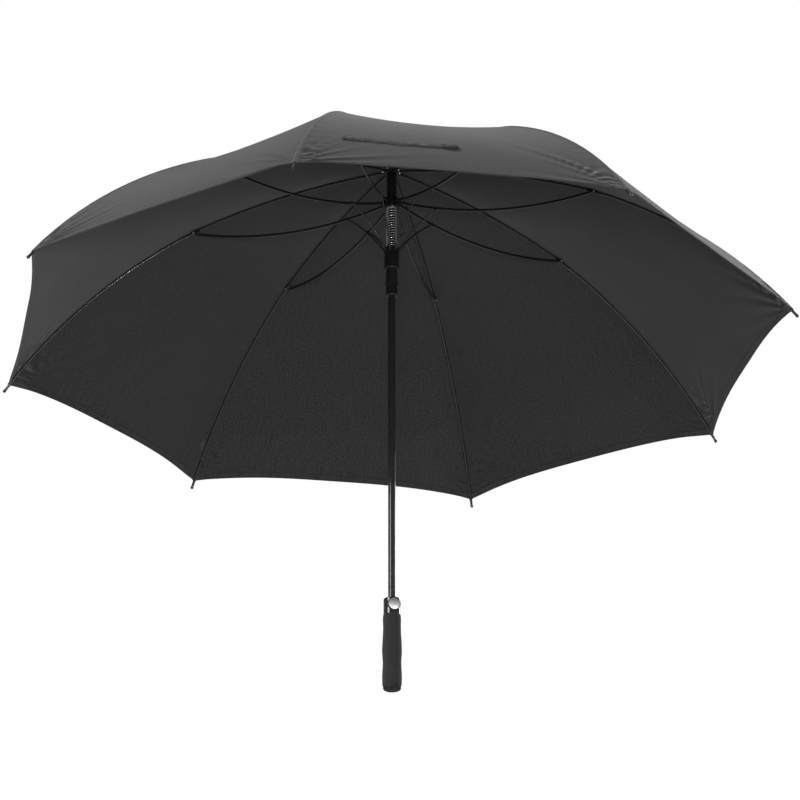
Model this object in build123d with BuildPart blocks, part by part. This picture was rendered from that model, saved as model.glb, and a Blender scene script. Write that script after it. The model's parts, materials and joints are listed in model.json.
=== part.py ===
from build123d import *
import os
from math import atan2, cos, degrees, hypot, radians, sin, sqrt, tan

# Golf umbrella, in millimetres. +Z runs up the shaft from the centre of the handle's bottom face.
# It stands open. Eight ribs lie every 45 degrees, and rib 1 points along +X.
# Each rib's linkage lies in the plane of its rib, as (radius from the shaft's axis, height).

rib_count = 8
rib_pitch = 360 / rib_count
half_pitch = rib_pitch / 2

# Linkage pivots with the canopy open
notch_level = 905.4
notch_pivot = (10.0, notch_level)
knuckle = (338.0, notch_level - 74.7)
rib_end = (650.0, notch_level - 324.4)
upper_pivot = (10.5, notch_level - 57.7)
lower_pivot = (10.5, notch_level - 147.0)

# Turn of each bowed member from end to end, in degrees, positive where it bows upwards
inner_rib_turn = 17
outer_rib_turn = 29
stretcher_turn = -34
strut_turn = 24
strut_joint_share = 0.207

# The same linkage folded along the shaft
folded_knuckle_radius = 22.0
folded_end_radius = 20.0

# Rods, eyes and pivots
inner_rod_radius = 2.0
outer_rod_radius = 1.6
strut_rod_radius = 1.3
stretcher_depth = 4.0
stretcher_thickness = 2.0
stretcher_layer = 2.6
pivot_pin_radius = 0.8
knuckle_pin_radius = 1.5
strut_pin_radius = 1.2
running_clearance = 0.06
eye_radius = 2.4
rib_eye_thickness = 1.9
strut_eye_thickness = 2.2
pin_bite = 1.5
upper_pin_bite = 0.7
pin_head = 0.4

# Flattened ends of the ribs, and the straight start of each round rod
rod_offset = 5.5
inner_blade = (10.0, 3.2)
outer_blade = (9.0, 2.8)

# Tip cap: a sleeve over the rod's end and a rounded nose
cap_sleeve = 5.0
cap_nose = 12.0
cap_wall = 0.6
cap_rounding = 1.6

# Knuckle fork at the end of the inner rib
fork_radius = 3.2
fork_width = 4.6
fork_depth = 4.6
fork_slot = 2.3
fork_shank = 12.0
fork_throat = 4.6
tongue_radius = 3.0

# Shaft and the parts on it
shaft_radius = 6.0
shaft_bore = 4.9
shaft_bottom = 18.0
shaft_top = notch_level + 16.0
sliding_bore = 6.1
notch_radius = 12.7
notch_bottom = notch_level - 3.0
notch_top = notch_level + 8.0
rib_slot = 2.3
slot_floor = 7.3
cap_radius = 20.0
cap_top = notch_level + 16.0
ferrule_top = notch_level + 62.0
hub_radius = 13.0
hub_half_height = 8.0
neck_radius = 8.0
hub_slot = 2.6
hub_slot_floor = 7.9
strut_groove = 3.0
strut_groove_floor = 9.3
crown_radius = 12.0
crown_top = notch_level - 139.8
crown_height = 40.0
waist_radius = 9.2
waist_height = 25.0
flange_radius = 11.0
flange_height = 5.0
spigot_height = 18.0
crown_slot = 3.0
spring_outer_radius = 9.0
spring_inner_radius = 7.3
spring_end_gap = 0.2

# Handle
housing_radius = 13.2
housing_height = 27.0
seat_gap = 0.3
socket_radius = 9.35
socket_depth = 19.0
button_azimuth = -62.0
button_radius = 9.25
button_drop = 12.0
button_back = 12.2
button_rim = 14.0
button_face = 15.4
button_travel = 2.0
button_gap = 0.1
boss_radius = 10.4
boss_reach = 13.6
pocket_floor = 9.9
latch_radius = 1.5
latch_tip = 8.3
latch_back = 12.0
core_radius = 9.0
end_cap_radius = 14.0
end_cap_height = 5.0
land_radius = 15.25
land_bottom = 12.0
land_top = 26.0

# Canopy
fabric_gap = 4.0
fabric_thickness = 1.0
fabric_hole_radius = 14.5
hem_bow = 9.4
seam_gap = 0.15

# Closing strap on the outside of the gore between ribs 7 and 8
strap_azimuth = -67.5
strap_share = 0.708
strap_start = -168.5
strap_end = 9.0
strap_width = 12.0
strap_thickness = 1.6
strap_lift = 0.4
fastener_length = 24.0
fastener_thickness = 1.2


def bowed_arc(start, end, turn):
    """Arc from start to end that turns by this many degrees, bowed to the left of its chord."""
    across, rise = end[0] - start[0], end[1] - start[1]
    bow = tan(radians(turn) / 4) / 2
    middle = ((start[0] + end[0]) / 2 - rise * bow, (start[1] + end[1]) / 2 + across * bow)
    return ThreePointArc(start, middle, end)


def crown_arc(radius, rim, top):
    """Arc of a round dome, from its rim to its top on the axis of revolution."""
    height = top - rim
    ball = (radius**2 + height**2) / (2 * height)
    half_turn = atan2(radius, ball - height) / 2
    middle = (ball * sin(half_turn), top - ball + ball * cos(half_turn))
    return ThreePointArc((radius, rim), middle, (0, top))


def flat(point):
    """The two coordinates of a point on a rib plane's curve."""
    return (point.X, point.Y)


def heading(start, end):
    """Angle of the line from start to end, in degrees above the horizontal."""
    return degrees(atan2(end[1] - start[1], end[0] - start[0]))


def span(start, end):
    """Distance between two pivots."""
    return hypot(end[0] - start[0], end[1] - start[1])


def turned(point, centre, angle):
    """The point turned about the centre by this many degrees."""
    across, rise = point[0] - centre[0], point[1] - centre[1]
    c, s = cos(radians(angle)), sin(radians(angle))
    return (centre[0] + across * c - rise * s, centre[1] + across * s + rise * c)


def drop(length, across):
    """Height that a member of this length takes up when its ends are this far apart sideways."""
    return sqrt(length**2 - across**2)


# Each member's curve, and where the strut joins the stretcher
inner_curve = bowed_arc(notch_pivot, knuckle, inner_rib_turn)
outer_curve = bowed_arc(knuckle, rib_end, outer_rib_turn)
stretcher_curve = bowed_arc(upper_pivot, knuckle, stretcher_turn)
strut_joint = flat(stretcher_curve @ strut_joint_share)
strut_curve = bowed_arc(lower_pivot, strut_joint, strut_turn)

# Folded places of the pivots, and how far each joint moves to reach them
folded_knuckle = (
    folded_knuckle_radius,
    notch_level - drop(span(notch_pivot, knuckle), folded_knuckle_radius - notch_pivot[0]),
)
folded_upper = (
    upper_pivot[0],
    folded_knuckle[1] - drop(span(upper_pivot, knuckle), folded_knuckle_radius - upper_pivot[0]),
)
folded_end = (
    folded_end_radius,
    folded_knuckle[1] - drop(span(knuckle, rib_end), folded_end_radius - folded_knuckle_radius),
)
rib_fold = heading(notch_pivot, knuckle) - heading(notch_pivot, folded_knuckle)
stretcher_fold = heading(folded_upper, folded_knuckle) - heading(upper_pivot, knuckle)
tip_fold = heading(folded_knuckle, folded_end) - heading(knuckle, rib_end) + rib_fold
upper_travel = upper_pivot[1] - folded_upper[1]
turned_joint = turned(strut_joint, upper_pivot, stretcher_fold)
folded_joint = (turned_joint[0], turned_joint[1] - upper_travel)
folded_lower = (
    lower_pivot[0],
    folded_joint[1] - drop(span(lower_pivot, strut_joint), folded_joint[0] - lower_pivot[0]),
)
strut_fold = heading(folded_lower, folded_joint) - heading(lower_pivot, strut_joint)
lower_travel = lower_pivot[1] - folded_lower[1]

# The folded runner's flange rests on the button housing
flange_bottom = crown_top - crown_height - waist_height - flange_height
housing_top = flange_bottom - lower_travel - seat_gap
housing_bottom = housing_top - housing_height
button_level = housing_top - button_drop


def member_plane(curve, share):
    """Plane square to a rib plane's curve at this share of its length."""
    place, direction = curve @ share, curve % share
    return Plane(origin=(place.X, 0, place.Y), z_dir=(direction.X, 0, direction.Y))


def outward(azimuth, level, reach):
    """Plane that faces out from the shaft, this far from its axis."""
    c, s = cos(radians(azimuth)), sin(radians(azimuth))
    return Plane(origin=(reach * c, reach * s, level), z_dir=(c, s, 0))


def write(piece, label):
    """Label a finished piece and write it as a STEP file."""
    piece.label = label
    export_step(piece, f"parts/{label}.step")


def write_ring(piece, label, first_turn=0):
    """Write one copy of a piece for each rib, numbered from +X."""
    for k in range(rib_count):
        write(piece.rotate(Axis.Z, first_turn + k * rib_pitch), f"{label}_{k + 1}")


os.makedirs("parts", exist_ok=True)

# ---------------------------------------------------------------- ribs

# Inner rib: an eye in the notch, a bowed rod, and a fork with the pivot pin at the knuckle
rod_start = rod_offset / inner_curve.length
rod_end = 1 - fork_throat / inner_curve.length
with BuildPart() as rib_inner:
    with BuildSketch(Plane.XZ):
        with Locations(notch_pivot):
            Circle(eye_radius)
        with Locations(flat(inner_curve @ (rod_start * 0.9))):
            Rectangle(*inner_blade, rotation=heading(notch_pivot, flat(inner_curve @ rod_start)))
        with Locations(notch_pivot):
            Circle(pivot_pin_radius + running_clearance, mode=Mode.SUBTRACT)
    extrude(amount=rib_eye_thickness / 2, both=True)
    with BuildLine(Plane.XZ) as inner_path:
        ThreePointArc(
            flat(inner_curve @ rod_start),
            flat(inner_curve @ 0.5),
            flat(inner_curve @ rod_end),
        )
    with BuildSketch(member_plane(inner_curve, rod_start)):
        Circle(inner_rod_radius)
    sweep(path=inner_path.line)
    with BuildSketch(Plane.XZ):
        with Locations(knuckle):
            Circle(fork_radius)
        with Locations(flat(inner_curve @ (1 - fork_shank / 2 / inner_curve.length))):
            Rectangle(fork_shank, fork_depth, rotation=heading(flat(inner_curve @ 0.97), knuckle))
    extrude(amount=fork_width / 2, both=True)
    with BuildSketch(Plane.XZ):
        with Locations(knuckle):
            Circle(fork_throat)
    extrude(amount=fork_slot / 2, both=True, mode=Mode.SUBTRACT)
    with BuildSketch(Plane.XZ.offset(-fork_width / 2)):
        with Locations(knuckle):
            Circle(knuckle_pin_radius)
    extrude(amount=fork_width / 2 + stretcher_layer + stretcher_thickness + pin_head)
write_ring(rib_inner.part, "rib_inner")

# Outer rib: a tongue in the knuckle's fork and a thin bowed rod that ends in a tip cap
rod_start = rod_offset / outer_curve.length
with BuildPart() as outer_rod:
    with BuildSketch(Plane.XZ):
        with Locations(knuckle):
            Circle(tongue_radius)
        with Locations(flat(outer_curve @ rod_start)):
            Rectangle(*outer_blade, rotation=heading(knuckle, flat(outer_curve @ rod_start)))
        with Locations(knuckle):
            Circle(knuckle_pin_radius + running_clearance, mode=Mode.SUBTRACT)
    extrude(amount=rib_eye_thickness / 2, both=True)
    with BuildLine(Plane.XZ) as outer_path:
        ThreePointArc(flat(outer_curve @ rod_start), flat(outer_curve @ 0.5), rib_end)
    with BuildSketch(member_plane(outer_curve, rod_start)):
        Circle(outer_rod_radius)
    sweep(path=outer_path.line)

rib_tip = member_plane(outer_curve, 1)
with BuildPart() as tip_cap:
    with BuildSketch(rib_tip.offset(-cap_sleeve)):
        Circle(outer_rod_radius + cap_wall)
    extrude(amount=cap_sleeve + cap_nose)
    fillet(tip_cap.edges().sort_by(Axis(rib_tip.origin, rib_tip.z_dir))[-1], cap_rounding)
    with BuildSketch(rib_tip.offset(-cap_sleeve)):
        Circle(outer_rod_radius)
    extrude(amount=cap_sleeve, mode=Mode.SUBTRACT)
write_ring(Compound([outer_rod.part, tip_cap.part]), "rib_outer")

# Stretcher: a flat bowed bar beside the rib, with an eye at each end and the strut's pin
with BuildPart() as stretcher:
    with BuildSketch(Plane.XZ.offset(stretcher_layer)):
        with BuildLine():
            add(stretcher_curve)
        trace(line_width=stretcher_depth)
        with Locations(upper_pivot):
            Circle(eye_radius)
        with Locations(knuckle):
            Circle(fork_radius)
        with Locations(strut_joint):
            Circle(fork_radius)
        with Locations(upper_pivot):
            Circle(pivot_pin_radius + running_clearance, mode=Mode.SUBTRACT)
        with Locations(knuckle):
            Circle(knuckle_pin_radius + running_clearance, mode=Mode.SUBTRACT)
    extrude(amount=stretcher_thickness)
    strut_pin_tip = strut_eye_thickness / 2 + pin_head
    with BuildSketch(Plane.XZ.offset(-strut_pin_tip)):
        with Locations(strut_joint):
            Circle(strut_pin_radius)
    extrude(amount=strut_pin_tip + stretcher_layer)
write_ring(stretcher.part, "stretcher")

# Strut: a short bowed wire with a flattened eye at each end
strut_rod_start = 2.0 / strut_curve.length
strut_rod_end = 1 - 2.2 / strut_curve.length
with BuildPart() as strut:
    with BuildSketch(Plane.XZ):
        with Locations(lower_pivot, strut_joint):
            Circle(eye_radius)
        with Locations(lower_pivot):
            Circle(pivot_pin_radius + running_clearance, mode=Mode.SUBTRACT)
        with Locations(strut_joint):
            Circle(strut_pin_radius + running_clearance, mode=Mode.SUBTRACT)
    extrude(amount=strut_eye_thickness / 2, both=True)
    with BuildLine(Plane.XZ) as strut_path:
        ThreePointArc(
            flat(strut_curve @ strut_rod_start),
            flat(strut_curve @ 0.5),
            flat(strut_curve @ strut_rod_end),
        )
    with BuildSketch(member_plane(strut_curve, strut_rod_start)):
        Circle(strut_rod_radius)
    sweep(path=strut_path.line)
write_ring(strut.part, "strut")

# ---------------------------------------------------------------- shaft and what stays on it

with BuildPart() as shaft:
    with BuildSketch(Plane.XY.offset(shaft_bottom)):
        Circle(shaft_radius)
        Circle(shaft_bore, mode=Mode.SUBTRACT)
    extrude(amount=shaft_top - shaft_bottom)
write(shaft.part, "shaft")


def pivot_pins(pivot, side, slot_width, bite):
    """A ring of short pins across the slots of a hub, each one square to its rib's plane."""
    reach = slot_width / 2 + bite
    with BuildPart() as pins:
        with BuildSketch(Plane.XZ.offset(side - reach)):
            with Locations(pivot):
                Circle(pivot_pin_radius)
        extrude(amount=2 * reach)
        pin = pins.part
        for k in range(1, rib_count):
            add(pin, rotation=(0, 0, k * rib_pitch))
    return pins.part


stretcher_middle = stretcher_layer + stretcher_thickness / 2
notch_pins = pivot_pins(notch_pivot, 0, rib_slot, pin_bite)
upper_pins = pivot_pins(upper_pivot, stretcher_middle, hub_slot, upper_pin_bite)
lower_pins = pivot_pins(lower_pivot, 0, crown_slot, pin_bite)
write(notch_pins, "notch_pins")
write(upper_pins, "upper_pins")
write(lower_pins, "lower_pins")

# Top notch: a slotted ring that carries the ribs' eyes
notch_height = notch_top - notch_bottom
with BuildPart() as top_notch:
    with BuildSketch(Plane.XY.offset(notch_bottom)):
        Circle(notch_radius)
        Circle(shaft_radius, mode=Mode.SUBTRACT)
    extrude(amount=notch_height)
    with Locations((0, 0, notch_bottom + notch_height / 2)):
        with PolarLocations(slot_floor + notch_radius / 2, rib_count):
            Box(notch_radius, rib_slot, notch_height + 2, mode=Mode.SUBTRACT)
    add(notch_pins, mode=Mode.SUBTRACT)
write(top_notch.part, "top_notch")

# Cap that closes the middle of the canopy, and the ferrule above it
with BuildPart() as top_cap:
    with BuildSketch(Plane.XZ):
        with BuildLine():
            Polyline(
                (shaft_radius, cap_top),
                (shaft_radius, notch_top),
                (cap_radius, notch_top),
                (cap_radius, notch_top + 1.6),
            )
            ThreePointArc(
                (cap_radius, notch_top + 1.6),
                (cap_radius * 0.68, cap_top - 1.8),
                (shaft_radius + 3, cap_top),
            )
            Line((shaft_radius + 3, cap_top), (shaft_radius, cap_top))
        make_face()
    revolve(axis=Axis.Z)
write(top_cap.part, "top_cap")

with BuildPart() as ferrule:
    with BuildSketch(Plane.XZ):
        with BuildLine():
            Polyline(
                (0, ferrule_top),
                (0, shaft_top),
                (8.4, shaft_top),
                (8.4, shaft_top + 3),
                (7.2, shaft_top + 5),
                (5.4, ferrule_top - 6),
            )
            add(crown_arc(5.4, ferrule_top - 6, ferrule_top))
        make_face()
    revolve(axis=Axis.Z)
write(ferrule.part, "ferrule")

# ---------------------------------------------------------------- runners and their spring

# Upper runner: a hub with slots for the stretchers, grooves that the struts fold into,
# and a neck that stops against the notch
hub_bottom = upper_pivot[1] - hub_half_height
neck_top = notch_bottom - 0.4
with BuildPart() as upper_runner:
    with BuildSketch(Plane.XY.offset(hub_bottom)):
        Circle(hub_radius)
    extrude(amount=2 * hub_half_height)
    chamfer(upper_runner.edges().filter_by(GeomType.CIRCLE), 1.2)
    with Locations((0, 0, upper_pivot[1])):
        with PolarLocations(0, rib_count):
            with Locations((hub_slot_floor + hub_radius / 2, -stretcher_middle)):
                Box(hub_radius, hub_slot, 3 * hub_half_height, mode=Mode.SUBTRACT)
            with Locations((strut_groove_floor + hub_radius / 2, 0)):
                Box(hub_radius, strut_groove, 3 * hub_half_height, mode=Mode.SUBTRACT)
    with BuildSketch(Plane.XY.offset(hub_bottom)):
        Circle(neck_radius)
    extrude(amount=neck_top - hub_bottom)
    with BuildSketch(Plane.XY.offset(hub_bottom)):
        Circle(sliding_bore)
    extrude(amount=neck_top - hub_bottom, mode=Mode.SUBTRACT)
    add(upper_pins, mode=Mode.SUBTRACT)
write(upper_runner.part, "upper_runner")

# Lower runner: the slotted crown for the struts, a waist, a flange and the spigot that latches
crown_bottom = crown_top - crown_height
spigot_bottom = flange_bottom - spigot_height
crown_slot_depth = crown_top - lower_pivot[1] + 5.0
latch_level = button_level + lower_travel
with BuildPart() as lower_runner:
    with BuildSketch(Plane.XZ):
        with BuildLine():
            Polyline(
                (sliding_bore, spigot_bottom),
                (waist_radius - 0.8, spigot_bottom),
                (waist_radius, spigot_bottom + 1.2),
                (waist_radius, flange_bottom),
                (flange_radius, flange_bottom),
                (flange_radius, flange_bottom + flange_height),
                (waist_radius, flange_bottom + flange_height),
                (waist_radius, crown_bottom),
                (crown_radius - 0.8, crown_bottom),
                (crown_radius, crown_bottom + 1.2),
                (crown_radius, crown_top - 1.5),
                (crown_radius - 1.5, crown_top),
                (sliding_bore, crown_top),
                close=True,
            )
        make_face()
    revolve(axis=Axis.Z)
    with Locations((0, 0, crown_top - crown_slot_depth / 2 + 1)):
        with PolarLocations(hub_slot_floor + crown_radius / 2, rib_count):
            Box(crown_radius, crown_slot, crown_slot_depth + 2, mode=Mode.SUBTRACT)
    for azimuth in (button_azimuth, button_azimuth + 180):
        with BuildSketch(outward(azimuth, latch_level, latch_tip - 0.4)):
            RectangleRounded(6.0, 5.0, 1.2)
        extrude(amount=3, mode=Mode.SUBTRACT)
    add(lower_pins, mode=Mode.SUBTRACT)
write(lower_runner.part, "lower_runner")

# Opening spring between the runners, as the sleeve that its coils fill
with BuildPart() as opening_spring:
    with BuildSketch(Plane.XY.offset(crown_top + spring_end_gap)):
        Circle(spring_outer_radius)
        Circle(spring_inner_radius, mode=Mode.SUBTRACT)
    extrude(amount=hub_bottom - crown_top - 2 * spring_end_gap)
write(opening_spring.part, "opening_spring")

# ---------------------------------------------------------------- handle

# Button housing: a socket for the runner's spigot, and a round boss with the button's pocket
with BuildPart() as button_housing:
    with BuildSketch(Plane.XY.offset(housing_bottom)):
        Circle(housing_radius)
    extrude(amount=housing_height)
    fillet(button_housing.edges().group_by(Axis.Z)[-1], 1.5)
    with BuildSketch(outward(button_azimuth, button_level, 0)):
        Circle(boss_radius)
    extrude(amount=boss_reach)
    with BuildSketch(outward(button_azimuth, button_level, pocket_floor)):
        Circle(button_radius + button_gap)
    extrude(amount=2 * button_radius, mode=Mode.SUBTRACT)
    with BuildSketch(Plane.XY.offset(housing_top - socket_depth)):
        Circle(socket_radius)
    extrude(amount=2 * socket_depth, mode=Mode.SUBTRACT)
    with BuildSketch(Plane.XY.offset(housing_bottom)):
        Circle(shaft_radius)
    extrude(amount=housing_height, mode=Mode.SUBTRACT)
    with BuildSketch(outward(button_azimuth + 180, button_level, latch_tip)):
        Circle(latch_radius)
    extrude(amount=latch_back - latch_tip, mode=Mode.SUBTRACT)
write(button_housing.part, "button_housing")

with BuildPart() as latch_pin:
    with BuildSketch(outward(button_azimuth + 180, button_level, latch_tip)):
        Circle(latch_radius)
    extrude(amount=latch_back - latch_tip)
write(latch_pin.part, "latch_pin")

# Release button: a domed disc that is pressed towards the shaft, on a short return spring
with BuildPart() as release_button:
    with BuildSketch(Plane.XZ):
        with BuildLine():
            Polyline(
                (0, button_face),
                (0, button_back),
                (button_radius, button_back),
                (button_radius, button_rim),
            )
            add(crown_arc(button_radius, button_rim, button_face))
        make_face()
    revolve(axis=Axis.Z)
button_turn = Plane(
    origin=(0, 0, button_level),
    x_dir=(0, 0, 1),
    z_dir=(cos(radians(button_azimuth)), sin(radians(button_azimuth)), 0),
)
write(release_button.part.moved(button_turn.location), "release_button")

with BuildPart() as button_spring:
    with BuildSketch(outward(button_azimuth, button_level, pocket_floor)):
        Circle(3.0)
        Circle(2.2, mode=Mode.SUBTRACT)
    extrude(amount=button_back - pocket_floor)
write(button_spring.part, "button_spring")

with BuildPart() as handle_core:
    with BuildSketch(Plane.XY.offset(end_cap_height)):
        Circle(core_radius)
    extrude(amount=housing_bottom - end_cap_height)
    with BuildSketch(Plane.XY.offset(shaft_bottom)):
        Circle(shaft_radius)
    extrude(amount=housing_bottom - shaft_bottom, mode=Mode.SUBTRACT)
write(handle_core.part, "handle_core")

# Foam grip: a straight land at the bottom, then a waist, a palm swell and a neck
with BuildPart() as foam_grip:
    with BuildSketch(Plane.XZ):
        with BuildLine():
            Polyline(
                (14.2, housing_bottom),
                (core_radius, housing_bottom),
                (core_radius, end_cap_height),
                (end_cap_radius, end_cap_height),
            )
            ThreePointArc((end_cap_radius, end_cap_height), (14.95, 8.2), (land_radius, land_bottom))
            Line((land_radius, land_bottom), (land_radius, land_top))
            Spline(
                (land_radius, land_top),
                (14.5, 44),
                (15.5, 66),
                (14.0, 98),
                (14.2, housing_bottom),
                tangents=((0, 1), (0, 1)),
            )
        make_face()
    revolve(axis=Axis.Z)
write(foam_grip.part, "foam_grip")

with BuildPart() as end_cap:
    with BuildSketch(Plane.XY):
        Circle(end_cap_radius)
    extrude(amount=end_cap_height)
    fillet(end_cap.edges().group_by(Axis.Z)[0], 3.0)
write(end_cap.part, "end_cap")

# ---------------------------------------------------------------- canopy


def ridge_point(curve, share, lift):
    """Point above a rib's curve, brought in to where the gore's middle line lies."""
    place, direction = curve @ share, curve % share
    return ((place.X - direction.Y * lift) * cos(radians(half_pitch)), place.Y + direction.X * lift)


def gore_line(lift):
    """Points along the middle of a gore, at this height above the ribs."""
    inner = [ridge_point(inner_curve, share, lift) for share in (0, 0.25, 0.5, 0.75)]
    outer = [ridge_point(outer_curve, share, lift) for share in (0, 0.25, 0.5, 0.75, 1)]
    last, slope = outer[-1], outer_curve % 1
    return inner + outer + [(last[0] + 8 * slope.X, last[1] + 8 * slope.Y)]


# Gore: straight from rib to rib, cut to its wedge, with a hem that bows in between the ribs
under_side = gore_line(fabric_gap)
top_side = gore_line(fabric_gap + fabric_thickness)
hem_reach = rib_end[0] * cos(radians(half_pitch))
hem_half = rib_end[0] * sin(radians(half_pitch)) - seam_gap
hole_reach = fabric_hole_radius * cos(radians(half_pitch))
hole_half = fabric_hole_radius * sin(radians(half_pitch)) - seam_gap
with BuildPart() as gore:
    with BuildSketch(Plane.XY.offset(rib_end[1] - 50)):
        with BuildLine():
            Polyline(
                (hem_reach, hem_half),
                (hole_reach, hole_half),
                (hole_reach, -hole_half),
                (hem_reach, -hem_half),
            )
            ThreePointArc((hem_reach, -hem_half), (hem_reach - hem_bow, 0), (hem_reach, hem_half))
        make_face()
    extrude(amount=notch_level - rib_end[1] + 100)
    with BuildSketch(Plane.XZ):
        with BuildLine():
            Spline(*under_side)
            Line(under_side[-1], top_side[-1])
            Spline(*top_side)
            Line(top_side[0], under_side[0])
        make_face()
    extrude(amount=hem_half + 10, both=True, mode=Mode.INTERSECT)
write_ring(gore.part, "canopy_gore", half_pitch)

# Closing strap along the hem, sewn on at one end and fastened at the other
strap_foot = ridge_point(outer_curve, strap_share, fabric_gap + fabric_thickness + strap_lift)
strap_slope = outer_curve % strap_share
strap_plane = Plane(
    origin=(strap_foot[0], 0, strap_foot[1]),
    x_dir=(0, 1, 0),
    z_dir=(-strap_slope.Y, 0, strap_slope.X * cos(radians(half_pitch))),
)
with BuildPart() as closing_strap:
    with BuildSketch(strap_plane):
        with Locations(((strap_start + strap_end) / 2, 0)):
            RectangleRounded(strap_end - strap_start, strap_width, 4.0)
    extrude(amount=strap_thickness)
with BuildPart() as strap_fastener:
    with BuildSketch(strap_plane.offset(strap_thickness)):
        with Locations((strap_end - fastener_length / 2 - 2, 0)):
            RectangleRounded(fastener_length, strap_width - 2, 3.0)
    extrude(amount=fastener_thickness)
write(closing_strap.part.rotate(Axis.Z, strap_azimuth), "closing_strap")
write(strap_fastener.part.rotate(Axis.Z, strap_azimuth), "strap_fastener")

print("lower runner travel", round(lower_travel, 3), "upper runner travel", round(upper_travel, 3))
print("rib fold", round(rib_fold, 3), "tip fold", round(tip_fold, 3))
print("stretcher fold", round(stretcher_fold, 3), "strut fold", round(strut_fold, 3))
print("housing top", round(housing_top, 3))
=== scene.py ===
import json
import math

import bpy
import numpy as np
from mathutils import Matrix, Vector, noise


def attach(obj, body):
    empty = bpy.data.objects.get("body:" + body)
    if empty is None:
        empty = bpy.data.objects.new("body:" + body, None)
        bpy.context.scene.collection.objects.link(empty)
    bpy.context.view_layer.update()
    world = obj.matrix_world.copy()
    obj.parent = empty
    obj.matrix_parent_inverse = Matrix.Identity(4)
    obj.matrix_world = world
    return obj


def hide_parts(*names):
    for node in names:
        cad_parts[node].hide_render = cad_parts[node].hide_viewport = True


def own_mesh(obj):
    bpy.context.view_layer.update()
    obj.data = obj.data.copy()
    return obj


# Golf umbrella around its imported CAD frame. Metres, +Z up the shaft, handle's bottom at the origin.

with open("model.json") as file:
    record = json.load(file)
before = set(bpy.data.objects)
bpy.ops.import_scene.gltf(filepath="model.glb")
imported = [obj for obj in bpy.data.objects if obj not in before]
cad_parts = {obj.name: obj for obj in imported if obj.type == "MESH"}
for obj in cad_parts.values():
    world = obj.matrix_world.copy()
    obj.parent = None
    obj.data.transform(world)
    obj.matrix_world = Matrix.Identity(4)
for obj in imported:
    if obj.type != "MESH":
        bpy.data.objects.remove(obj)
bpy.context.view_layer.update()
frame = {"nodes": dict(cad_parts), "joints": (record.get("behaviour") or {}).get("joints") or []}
joints = {j["name"]: j for j in frame["joints"]}
nodes = frame["nodes"]

RIBS = 8
PITCH = 2 * math.pi / RIBS
HALF = PITCH / 2

# Rib line, as (radius, height). The pivots come from the frame's own joints.
NOTCH = (0.010, joints["rib_1_fold"]["pos_m"][2])
KNUCKLE = (joints["rib_1_flex"]["pos_m"][0], joints["rib_1_flex"]["pos_m"][2])
RIB_END = (0.650, NOTCH[1] - 0.3244)
INNER_TURN = math.radians(17)
OUTER_TURN = math.radians(29)
RIB_FOLD = math.radians(75.126)
TIP_FOLD = math.radians(23.51)

# Cloth: the hole round the shaft, how far it rides above the ribs' middle lines, and its hem and sag
HOLE_REACH = 0.0150
LIFT_HUB = 0.0032
LIFT_KNUCKLE = 0.0041
LIFT_END = 0.0024
HEM_BOW = 0.0094
HEM_FOLD = 0.009
SAG = 0.009
LINE_RUN_ON = 0.03


# ------------------------------------------------------------------ meshes


def new_object(name, vertices, faces, smooth=True):
    """A mesh object from points and faces."""
    mesh = bpy.data.meshes.new(name)
    mesh.from_pydata([tuple(p) for p in vertices], [], faces)
    mesh.validate()
    mesh.polygons.foreach_set("use_smooth", [smooth] * len(mesh.polygons))
    mesh.update()
    thing = bpy.data.objects.new(name, mesh)
    bpy.context.scene.collection.objects.link(thing)
    return thing


def grid_faces(rows, columns, round_columns=False, flip=False):
    """Quads of a grid whose points are stored row by row."""
    last = columns if round_columns else columns - 1
    faces = []
    for i in range(rows - 1):
        for j in range(last):
            k = (j + 1) % columns
            quad = (i * columns + j, i * columns + k, (i + 1) * columns + k, (i + 1) * columns + j)
            faces.append(quad[::-1] if flip else quad)
    return faces


def cap(row, sides, flip=False):
    """The face that closes a round grid at this row."""
    corners = tuple(range(row * sides, (row + 1) * sides))
    return corners[::-1] if flip else corners


def tube(name, path, radius, sides=12):
    """A round tube along a path of points, closed at both ends. The radius may change along it."""
    path = np.asarray(path, float)
    radius = np.broadcast_to(np.asarray(radius, float), (len(path),))
    forward = np.gradient(path, axis=0)
    forward /= np.linalg.norm(forward, axis=1)[:, None]
    side = np.cross(forward[0], (0.0, 0.0, 1.0))
    if np.linalg.norm(side) < 1e-6:
        side = np.array((1.0, 0.0, 0.0))
    angles = np.linspace(0, 2 * math.pi, sides, endpoint=False)
    points = []
    for place, ahead, r in zip(path, forward, radius):
        side = side - ahead * (side @ ahead)
        side /= np.linalg.norm(side)
        other = np.cross(ahead, side)
        ring = np.outer(np.cos(angles), side) + np.outer(np.sin(angles), other)
        points.append(place + r * ring)
    points = np.concatenate(points)
    faces = grid_faces(len(path), sides, round_columns=True)
    faces += [cap(0, sides, flip=True), cap(len(path) - 1, sides)]
    return new_object(name, points, faces)


def sleeve(name, profile, sides=128):
    """A closed ring-shaped solid about +Z whose section is this loop of (radius, height) points."""
    angles = np.linspace(0, 2 * math.pi, sides, endpoint=False)
    points = [(r * math.cos(a), r * math.sin(a), z) for r, z in profile for a in angles]
    faces = grid_faces(len(profile), sides, round_columns=True)
    last = (len(profile) - 1) * sides
    faces += [(last + j, last + (j + 1) % sides, (j + 1) % sides, j) for j in range(sides)]
    return new_object(name, points, faces)


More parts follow.
